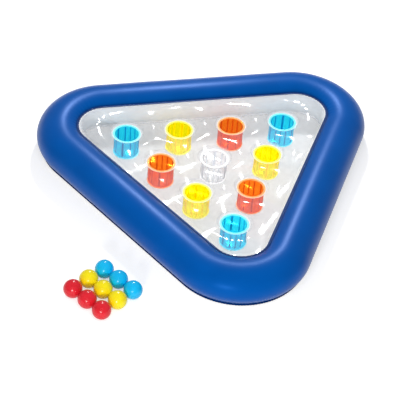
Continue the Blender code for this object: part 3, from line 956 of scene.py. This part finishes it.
def blownHeights(points, triangles, held, lift):  # a skin held at some points, blown out by air
    count = len(points)
    corners = points[triangles]
    rows, columns, weights = [], [], []
    load = np.zeros(count)
    for corner in range(3):
        a, b, c = (triangles[:, (corner + shift) % 3] for shift in range(3))
        first = corners[:, corner] - corners[:, (corner + 2) % 3]
        second = corners[:, (corner + 1) % 3] - corners[:, (corner + 2) % 3]
        area = np.abs(first[:, 0] * second[:, 1] - first[:, 1] * second[:, 0])
        weight = (first * second).sum(1) / area / 2
        rows += [a, b, a, b]
        columns += [b, a, a, b]
        weights += [-weight, -weight, weight, weight]
        load += np.bincount(c, area / 6, count)
    rows, columns, weights = map(np.concatenate, (rows, columns, weights))
    free = np.isnan(held)
    base = np.where(free, 0.0, held)

    def pulled(heights):
        return np.bincount(rows, weights * heights[columns], count) * free

    def solved(push):  # by conjugate gradients
        heights = np.zeros(count)
        left = push.copy()
        way = left.copy()
        energy = left @ left
        for _ in range(filmSolver["steps"]):
            pull = pulled(way)
            step = energy / (way @ pull)
            heights += step * way
            left -= step * pull
            fresh = left @ left
            if fresh < filmSolver["residue"] * (push @ push):
                break
            way = left + fresh / energy * way
            energy = fresh
        return heights

    spanned = base + solved(-pulled(base))
    risen = solved(load * free)
    return spanned + lift * risen / risen.max()


def filmMesh(name, loops, holes, discs, lift, wrinkle):
    # loops are (points, height), the outline first; holes and discs are (centre, radius)
    points, edges, held = [], [], []
    for loop, height in loops:
        first = len(points)
        edges += [(first + i, first + (i + 1) % len(loop)) for i in range(len(loop))]
        points += loop
        held += [height] * len(loop)
    spacing = filmSizes["spacing"]
    clear = filmSizes["clearShare"] * spacing
    outline = loops[0][0]
    low = np.min([tuple(point) for point in outline], axis=0)
    high = np.max([tuple(point) for point in outline], axis=0)
    columns = np.arange(low[0], high[0], spacing)
    lines = np.arange(low[1], high[1], spacing * math.sqrt(3) / 2)
    x, y = np.meshgrid(columns, lines)
    x = x + (np.arange(len(lines)) % 2)[:, None] * spacing / 2
    inner = np.stack([x.ravel(), y.ravel()], axis=1)
    keep = depthInside(inner, loops[1][0]) > clear
    for centre, radius in discs:
        keep &= np.hypot(inner[:, 0] - centre[0], inner[:, 1] - centre[1]) > radius + clear
    points += [Vector(point) for point in inner[keep]]
    held += [math.nan] * int(keep.sum())
    spots, _, faces, origins, _, _ = delaunay_2d_cdt(points, edges, [], 0, filmSizes["sliver"])
    spots = np.array([tuple(spot) for spot in spots])
    heights = np.array([held[origin[0]] for origin in origins])
    faces = np.array(faces)
    middles = spots[faces].mean(axis=1)
    kept = np.ones(len(faces), bool)
    for centre, radius in holes:
        kept &= np.hypot(middles[:, 0] - centre[0], middles[:, 1] - centre[1]) > radius
    faces = faces[kept]
    blown = blownHeights(spots, faces, heights, lift)
    blown += np.where(np.isnan(heights), wrinkle(spots), 0.0)
    mesh = bpy.data.meshes.new(name)
    mesh.from_pydata(np.column_stack([spots, blown]).tolist(), [], faces.tolist())
    return mesh, spots, blown


def cupDistances(spots):  # to the nearest cup's middle, and the way to it
    best = np.full(len(spots), np.inf)
    turn = np.zeros(len(spots))
    for middle in cupMiddles.values():
        dx, dy = spots[:, 0] - middle.x, spots[:, 1] - middle.y
        far = np.hypot(dx, dy)
        turn = np.where(far < best, np.arctan2(dy, dx), turn)
        best = np.minimum(best, far)
    return best, turn


def cornerFolds(spots):  # a few folds that fan out in each corner
    corner = filmFolds["corner"]
    start, slope = corner["fade"]
    folds = np.zeros(len(spots))
    reach = ringSizes["cornerRadius"] + innerSeamAcross
    for side in range(3):
        heading = side * math.tau / 3 - math.pi / 2
        x = spots[:, 0] - cornerReach * math.cos(heading)
        y = spots[:, 1] - cornerReach * math.sin(heading) - ringSizes["middle"]
        across = x * math.cos(heading) + y * math.sin(heading)
        turn = np.arctan2(y * math.cos(heading) - x * math.sin(heading), across)
        far = np.hypot(x, y) / reach
        fan = np.clip(1.0 - (turn / corner["spread"]) ** 2, 0.0, 1.0)
        window = fan * np.clip(far / corner["from"], 0.0, 1.0) * np.clip(start - slope * far, 0.0, 1.0)
        folds += np.sin(corner["count"] * turn + side + 1.0) * window
    return corner["share"] * folds


def edgeFolds(spots, fromRing, look):  # crossed waves that fade away from the ring
    swing, bend = look["bend"]
    folds = look["share"] * np.cos(spots[:, 1] * look["along"])
    folds *= look["wave"](spots[:, 0] * look["across"] + swing * np.sin(spots[:, 1] * bend))
    return folds * np.exp(-fromRing / look["reach"]) * np.minimum(fromRing / look["start"], 1.0)


def filmWrinkle(depth):  # fine folds round the cups and along the ring
    outline = ringPlan(innerSeamAcross)
    cup = filmFolds["round"]

    def wrinkle(spots):
        far, turn = cupDistances(spots)
        fromCup = np.maximum(far - cupSizes["flange"], 0.0)
        fromRing = np.maximum(depthInside(spots, outline), 0.0)
        folds = np.cos(cup["count"] * turn + cup["twist"] * fromCup) * np.exp(-fromCup / cup["reach"])
        folds *= cup["share"] * np.minimum(fromCup / cup["start"], 1.0)
        for look in (filmFolds["waves"], filmFolds["swells"]):
            folds += edgeFolds(spots, fromRing, look)
        return depth * (folds + cornerFolds(spots))

    return wrinkle


def makeFilm(look, loops, holes, discs, lift, weldAt):
    name = "floor" + look.capitalize() + "Film"
    wrinkle = filmWrinkle(filmFolds[look + "Depth"])
    mesh, spots, blown = filmMesh(name, loops, holes, discs, lift, wrinkle)
    piece = linked(name, mesh)
    weld = mesh.attributes.new("weld", "FLOAT", "POINT")
    weld.data.foreach_set("value", weldAt(spots).astype(np.float32))
    mesh.materials.append(finishes["film " + look])
    thicken(piece, filmSizes["thickness"], 0.0)
    stands(smoothed(plainMesh(piece), sharpAngles["film"]), "floor_" + look + "_film")
    reach = (round(float(height), 4) for height in (blown.min(), blown.max()))
    print(name, len(piece.data.vertices), "points, heights", *reach)


def makeTopFilm():
    rim = cupSizes["rimHeight"] - cupSizes["sheet"] - ringSizes["weldGap"] - filmSizes["thickness"] / 2
    lipEnd = innerSeamAcross - ringSizes["innerLip"] - ringSizes["weldGap"]
    seamEnd = innerSeamAcross - ringSizes["weldGap"]
    loops = [(ringPlan(seamEnd), innerSeamHeight), (ringPlan(lipEnd), innerSeamHeight)]
    holes, discs = [], []
    steps = filmSizes["loopSteps"]
    hole = cupSizes["mouth"] + cupSizes["sheet"] + 2 * ringSizes["weldGap"]
    for middle in cupMiddles.values():
        loops.append((circleLoop(middle, hole, steps), rim))
        loops.append((circleLoop(middle, cupSizes["flange"] + filmSizes["flat"], steps), rim))
        holes.append((middle, hole * math.cos(math.pi / steps)))
        discs.append((middle, cupSizes["flange"] + filmSizes["flat"]))
    edge = ringPlan(lipEnd)

    def weldAt(spots):  # milky round the cups; milkier and whiter along the back, which is painted light; clear beside the ring's lip except at the back
        far, _ = cupDistances(spots)
        fromLip = depthInside(spots, edge)
        fromCup = far - cupSizes["flange"] - filmWeldsAndPaintedLight["cupGap"]
        inCup = np.clip(1.0 - fromCup / filmWeldsAndPaintedLight["cupFade"], 0.0, 1.0)
        # painted light: a share that grows towards the back, where the film is made whiter
        paintedLightAtBack = np.clip((spots[:, 1] - filmWeldsAndPaintedLight["back"]) / filmWeldsAndPaintedLight["backFade"], 0.0, 1.0)
        haze = filmWeldsAndPaintedLight["haze"] * paintedLightAtBack * np.exp(-((fromLip / filmWeldsAndPaintedLight["hazeReach"]) ** 2))
        strip = np.clip(1.0 - (fromLip - filmWeldsAndPaintedLight["clearEdge"]) / filmWeldsAndPaintedLight["clearFade"], 0.0, 1.0)
        slope, start = filmWeldsAndPaintedLight["backEdge"]
        return np.maximum(haze, inCup) * (1.0 - strip) + strip * (slope * paintedLightAtBack - start)

    makeFilm("top", loops, holes, discs, filmSizes["topRise"], weldAt)


def makeBottomFilm():
    clear = ringSizes["weldGap"] + filmSizes["thickness"]
    angle = math.tau - ringSizes["innerSeam"]

    def under(turn):
        across = (ringSizes["width"] / 2 + clear) * math.cos(turn)
        return across, ringCentre + (ringSizes["height"] / 2 + clear) * math.sin(turn)

    first = under(angle + 2 * filmSizes["strip"] / ringSizes["width"])
    last = under(angle)
    loops = [(ringPlan(first[0]), first[1]), (ringPlan(last[0]), last[1])]
    floorHeight = cupSizes["rimHeight"] - cupSizes["depth"]
    foot = floorHeight - cupSizes["sheet"] - ringSizes["weldGap"] - filmSizes["thickness"] / 2
    steps = filmSizes["loopSteps"]
    discs = []
    for middle in cupMiddles.values():
        loops.append((circleLoop(middle, cupSizes["foot"] + filmSizes["flat"], steps), foot))
        discs.append((middle, cupSizes["foot"] + filmSizes["flat"]))
    valve = middleOf("floor_valve_seat")
    valveTop = valveSizes["floorHeight"] + filmSizes["thickness"] / 2
    loops.append((circleLoop(valve, valveSizes["hole"], steps // 2), valveTop))
    loops.append((circleLoop(valve, valveSizes["seat"] + filmSizes["flat"], steps // 2), valveTop))
    discs.append((valve, valveSizes["seat"] + filmSizes["flat"]))
    holes = [(valve, valveSizes["hole"] * filmSizes["holeShare"])]
    edge = ringPlan(last[0])

    def weldAt(spots):
        far, _ = cupDistances(spots)
        fromRing = depthInside(spots, edge) - filmWeldsAndPaintedLight["ringEdge"]
        inRing = np.clip(1.0 - fromRing / filmWeldsAndPaintedLight["ringFade"], 0.0, 1.0)
        fromFoot = np.abs(far - cupSizes["foot"] + filmWeldsAndPaintedLight["footHalf"])
        return np.maximum(inRing, np.clip(1.0 - fromFoot / filmWeldsAndPaintedLight["footFade"], 0.0, 1.0))

    makeFilm("bottom", loops, holes, discs, -filmSizes["bottomFall"], weldAt)


makeTopFilm()
makeBottomFilm()


# The cup pockets

cupSection = (  # share of the way down, radius and height, each a named size and what is added to it
    (0.0, "Flange", 0.0, "Rim Height", -0.0002),
    (0.12, "Mouth", 0.0008, "Rim Height", 0.0),
    (0.18, "Mouth", 0.0, "Rim Height", -0.0010),
    (0.28, "Body", -0.0008, "Neck Height", 0.0),
    (0.72, "Body", 0.0, "Foot Height", 0.018),
    (0.84, "Body", -0.0012, "Foot Height", 0.006),
    (0.93, "Body", -0.0034, "Foot Height", 0.0004),
    (1.0, "Foot", 0.0, "Foot Height", 0.0),
)
cupBaseSection = (  # share of the way out, and how many beads low
    (0.0, 2.0), (0.30, 2.0), (0.34, 0.6), (0.38, 0.6), (0.42, 2.0),
    (0.86, 2.0), (0.90, 0.0), (0.99, 0.0), (1.0, 0.8),
)
cupShares = {
    "fluteStart": (0.16, 0.34),
    "fluteEnd": (0.78, 0.92),
    "creaseEdge": (0.1, 0.66),
    "flangeEnd": (0.16, 0.24),
    "footStart": (0.93, 0.97),
    "fluteSwing": 0.7,
}
cupGrid = (145, 44)
baseBead = 0.0003
baseSegments = 96


def cupTree(inputs):
    board, given = newTree("flutedCup", inputs)
    grid, spot = unitGrid(board, given)
    turn = spot["X"] * math.tau
    fall = 0.5 - spot["Y"]
    down = 1.0 - fall

    # From the flange's edge over the mouth and down the wall to the welded foot
    stops = [share for share, *_ in cupSection]
    radii = [given[wide] + more for _, wide, more, *_ in cupSection]
    heights = [given[high] + more for *_, high, more in cupSection]
    radius, height = radii[0], heights[0]
    for number in range(1, len(stops)):
        part = down.share(stops[number - 1], stops[number])
        radius = radius + (radii[number] - radii[number - 1]) * part
        height = height + (heights[number] - heights[number - 1]) * part

    phase = turn + given["Phase"]
    swerve = (phase * 3.0).sin() * cupShares["fluteSwing"]
    swing = (phase * given["Flutes"] * 0.5 + swerve).sin().size()
    fluted = down.share(*cupShares["fluteStart"], True) * (1.0 - down.share(*cupShares["fluteEnd"], True))
    radius = radius - swing * fluted * given["Flute Depth"]
    x = given["Centre X"] + turn.cos() * radius
    y = given["Centre Y"] + turn.sin() * radius
    onFlange = (1.0 - down.share(*cupShares["flangeEnd"])).atLeast(down.share(*cupShares["footStart"]))
    # the flutes' creases, where the walls take painted shade and are more solid
    crease = (1.0 - swing.share(*cupShares["creaseEdge"], True)) * fluted
    marked = stored(board, grid, "along", turn * given["Mouth"])
    marked = stored(board, marked, "flange", onFlange)
    marked = stored(board, marked, "crease", crease)
    moved = board.add("GeometryNodeSetPosition", None, {
        "Geometry": marked,
        "Position": board.vector(x, y, height),
    })
    flipped = board.add("GeometryNodeFlipFaces", None, {0: moved})
    closed = board.add("GeometryNodeMergeByDistance", None, {"Geometry": flipped, "Distance": mergeDistance})
    endTree(board, closed, given["Finish"])
    return board.tree


def cupBaseProfile():
    floorHeight = cupSizes["rimHeight"] - cupSizes["depth"]
    foot = cupSizes["foot"]
    under = floorHeight - cupSizes["sheet"]
    top = [(foot * share, floorHeight - baseBead * low) for share, low in cupBaseSection]
    return top + [(foot, under + baseBead), (foot - baseBead, under), (0.0, under)]


def makeCups():
    floorHeight = cupSizes["rimHeight"] - cupSizes["depth"]
    values = {
        "Columns": cupGrid[0],
        "Rows": cupGrid[1],
        "Centre X": 0.0,
        "Centre Y": 0.0,
        "Rim Height": cupSizes["rimHeight"],
        "Foot Height": floorHeight + ringSizes["weldGap"] + cupSizes["sheet"],
        "Neck Height": cupSizes["rimHeight"] - cupSizes["neck"],
        "Flange": cupSizes["flange"],
        "Mouth": cupSizes["mouth"],
        "Body": cupSizes["body"],
        "Foot": cupSizes["foot"],
        "Flutes": float(cupSizes["flutes"]),
        "Flute Depth": cupSizes["fluteDepth"],
        "Phase": 0.0,
    }
    tree = cupTree(values)
    for name, middle in cupMiddles.items():
        finish = finishes[nodeSlots["cup_wall_" + name].replace("_", " ")]
        values["Centre X"], values["Centre Y"] = middle.x, middle.y
        values["Phase"] = float(name)
        wall = grown("cupWall" + name, tree, values, finish, cupSizes["sheet"])
        stands(smoothed(wall, sharpAngles["cup wall"]), "cup_wall_" + name)
        baseMesh = turnedMesh("cupBase" + name, cupBaseProfile(), baseSegments, finish)
        base = linked("cupBase" + name, baseMesh)
        base.data.transform(Matrix.Translation((middle.x, middle.y, 0.0)))
        stands(smoothed(base, sharpAngles["cup base"]), "cup_base_" + name)
    print("cups:", len(cupMiddles))


makeCups()


# The valves

def valveProfiles(under, lip):
    size = valveSizes
    top = -under
    wall = size["well"] + size["sheet"]
    seat = [
        (size["seat"], top), (size["seat"], top - size["sheet"]), (wall, top - size["sheet"]),
        (wall, size["wellFloor"] - size["sheet"]), (size["vent"], size["wellFloor"] - size["sheet"]),
        (size["vent"], size["wellFloor"]), (size["well"], size["wellFloor"]), (size["well"], lip),
        (size["hole"] - size["round"], lip), (size["hole"] - size["round"], top),
    ]
    footTop = size["stemBottom"] + size["footHeight"]
    stem = [
        (size["stem"], size["stemTop"]), (size["stem"], footTop), (size["foot"], footTop),
        (size["foot"], size["stemBottom"]), (size["bore"], size["stemBottom"]),
        (size["bore"], size["stemTop"]),
    ]
    capTop = size["plug"] + size["capHeight"]
    dish = capTop - size["round"]
    dishEnd, dishEdge = (share * size["cap"] for share in size["dishShares"])
    shankEnd = size["plug"] - size["shankLength"]
    plug = [
        (0.0, dish), (dishEnd, dish), (dishEdge, capTop), (size["cap"], capTop),
        (size["cap"], size["plug"]), (size["shank"], size["plug"]),
        (size["shankTip"], shankEnd), (0.0, shankEnd),
    ]
    flapTop = size["flapTop"]
    flapLow = flapTop - size["flapSheet"]
    flap = [(0.0, flapTop), (size["flap"], flapTop), (size["flap"], flapLow), (0.0, flapLow)]
    return {"seat": seat, "stem": stem, "plug": plug, "flap": flap}


def addStrap(mesh, inner, low, high):  # a flat tongue towards -y, as far as the strap's bend
    bm = bmesh.new()
    bm.from_mesh(mesh)
    near = -inner + 2 * valveSizes["round"]
    size = (valveSizes["strap"], near + valveSizes["pivot"], high - low)
    middle = Vector((0.0, (near - valveSizes["pivot"]) / 2, (low + high) / 2))
    bmesh.ops.create_cube(bm, size=1.0, matrix=Matrix.Translation(middle) @ Matrix.Diagonal((*size, 1.0)))
    bm.to_mesh(mesh)
    bm.free()


def makeValve(name, under, lip):
    size = valveSizes
    for part, profile in valveProfiles(under, lip).items():
        pieceName = name + "Valve" + part.capitalize()
        closed = part in ("seat", "stem")
        mesh = turnedMesh(pieceName, profile, size["segments"], finishes["valve"], closed)
        piece = linked(pieceName, mesh)
        if part == "stem":
            addStrap(mesh, size["stem"], size["stemTop"] - size["ear"], size["stemTop"])
        if part == "plug":
            addStrap(mesh, size["cap"], size["plug"], size["plug"] + size["capHeight"])
        mesh.transform(valvePlace(name))
        rounded = piece.modifiers.new("rounded", "BEVEL")
        rounded.width = size["round"] if part != "flap" else size["round"] / 3
        rounded.segments = 2
        stands(smoothed(plainMesh(piece), sharpAngles["valve"]), name + "_valve_" + part)
    print(name, "valve in place")


valveSeats = {  # how far a seat lies under its sheet, and how far its lip stands up
    "ring": {"under": 0.0017, "lip": 0.0008},
    "floor": {"under": 0.0008, "lip": 0.0002},
}
for valveName, valveSeat in valveSeats.items():
    makeValve(valveName, **valveSeat)


# The balls

ballSizes = {
    "radius": 0.0325,
    "rows": 44,
    "segments": 64,
    "seam": 0.00012,
    "seamSpread": 0.6,
    "tiltSeed": 7,
}


def makeBalls():
    tilts = np.random.default_rng(ballSizes["tiltSeed"])
    rows = ballSizes["rows"]
    for node in (node for node in nodeBodies if node.startswith("ball_")):
        middle = middleOf(node)
        profile = []
        for row in range(rows + 1):
            turn = math.pi * row / rows
            ridge = ballSizes["seam"] * math.exp(-((row - rows / 2) / ballSizes["seamSpread"]) ** 2)
            radius = ballSizes["radius"] - ballSizes["seam"] + ridge
            profile.append((radius * math.sin(turn) if 0 < row < rows else 0.0, radius * math.cos(turn)))
        name = "ball" + "".join(word.capitalize() for word in node.split("_")[1:])
        colour = node.split("_")[1]
        mesh = turnedMesh(name, profile, ballSizes["segments"], finishes["ball " + colour])
        piece = linked(name, mesh)
        tilt = Euler(tilts.uniform(0.0, math.tau, 3)).to_matrix().to_4x4()
        piece.data.transform(Matrix.Translation(middle) @ tilt)
        stands(smoothed(piece, sharpAngles["ball"]), node)
    print("balls in place")


makeBalls()


# The studio

studio = {
    "middle": (0.0, 0.08, 0.1),
    "skyColour": (0.95, 0.97, 1.0, 1.0),
    "skyStrength": 0.36,
    "floorSize": 40.0,
    "floorDrop": 0.0004,
    "floorColour": (0.80, 0.79, 0.775, 1.0),
    "floorLift": 0.50,
}
lamps = {
    "key": {
        "towards": (0.127, 0.713, 0.689),
        "far": 3.2,
        "size": (0.28, 0.40),
        "power": 58.0,
        "mirrored": True,
    },
    "fill": {
        "towards": (-0.39, -0.88, 0.27),
        "far": 3.2,
        "size": (0.50, 0.26),
        "power": 28.0,
        "mirrored": True,
    },
    "front": {
        "towards": (-0.20, -0.70, 0.68),
        "far": 3.4,
        "size": (1.6, 1.6),
        "power": 38.0,
        "mirrored": False,
    },
}


def seenDirectly(board):  # camera, mirror and glass rays
    path = board.add("ShaderNodeLightPath")
    return (path["Is Camera Ray"] + path["Is Glossy Ray"] + path["Is Transmission Ray"]).atMost(1.0)


def addStudio():
    for name, lamp in lamps.items():
        light = bpy.data.lights.new(name, "AREA")
        light.shape = "RECTANGLE"
        light.size, light.size_y = lamp["size"]
        light.energy = lamp["power"]
        there = Vector(studio["middle"]) + lamp["far"] * Vector(lamp["towards"]).normalized()
        thing = linked(name, light)
        thing.matrix_world = aimed(there, Vector(studio["middle"]) - there, (0.0, 0.0, 1.0))
        thing.visible_camera = False
        thing.visible_glossy = lamp["mirrored"]

    world = bpy.data.worlds.new("paleRoom")
    bpy.context.scene.world = world
    world.use_nodes = True
    world.node_tree.nodes.clear()
    board = Board(world.node_tree)
    path = board.add("ShaderNodeLightPath")
    strength = path["Is Camera Ray"] * (1.0 - studio["skyStrength"]) + studio["skyStrength"]
    sky = board.add("ShaderNodeBackground", None, {"Color": studio["skyColour"], "Strength": strength})
    board.add("ShaderNodeOutputWorld", None, {"Surface": sky})

    half = studio["floorSize"] / 2
    flat = ((-half, -half), (half, -half), (half, half), (-half, half))
    corners = [(x, y, -studio["floorDrop"]) for x, y in flat]
    mesh = bpy.data.meshes.new("studioFloor")
    mesh.from_pydata(corners, [], [(0, 1, 2, 3)])
    floor = linked("studioFloor", mesh)
    finish = bpy.data.materials.new("paleFloor")
    finish.use_nodes = True
    finish.node_tree.nodes.clear()
    board = Board(finish.node_tree)
    matt = board.add("ShaderNodeBsdfDiffuse", None, {"Color": studio["floorColour"]})
    lift = seenDirectly(board) * studio["floorLift"]
    glow = board.add("ShaderNodeEmission", None, {"Color": (1.0, 1.0, 1.0, 1.0), "Strength": lift})
    ended(board, board.add("ShaderNodeAddShader", None, {0: matt, 1: glow}))
    mesh.materials.append(finish)
    bpy.context.scene.view_settings.view_transform = "Standard"


addStudio()
print("studio lit")
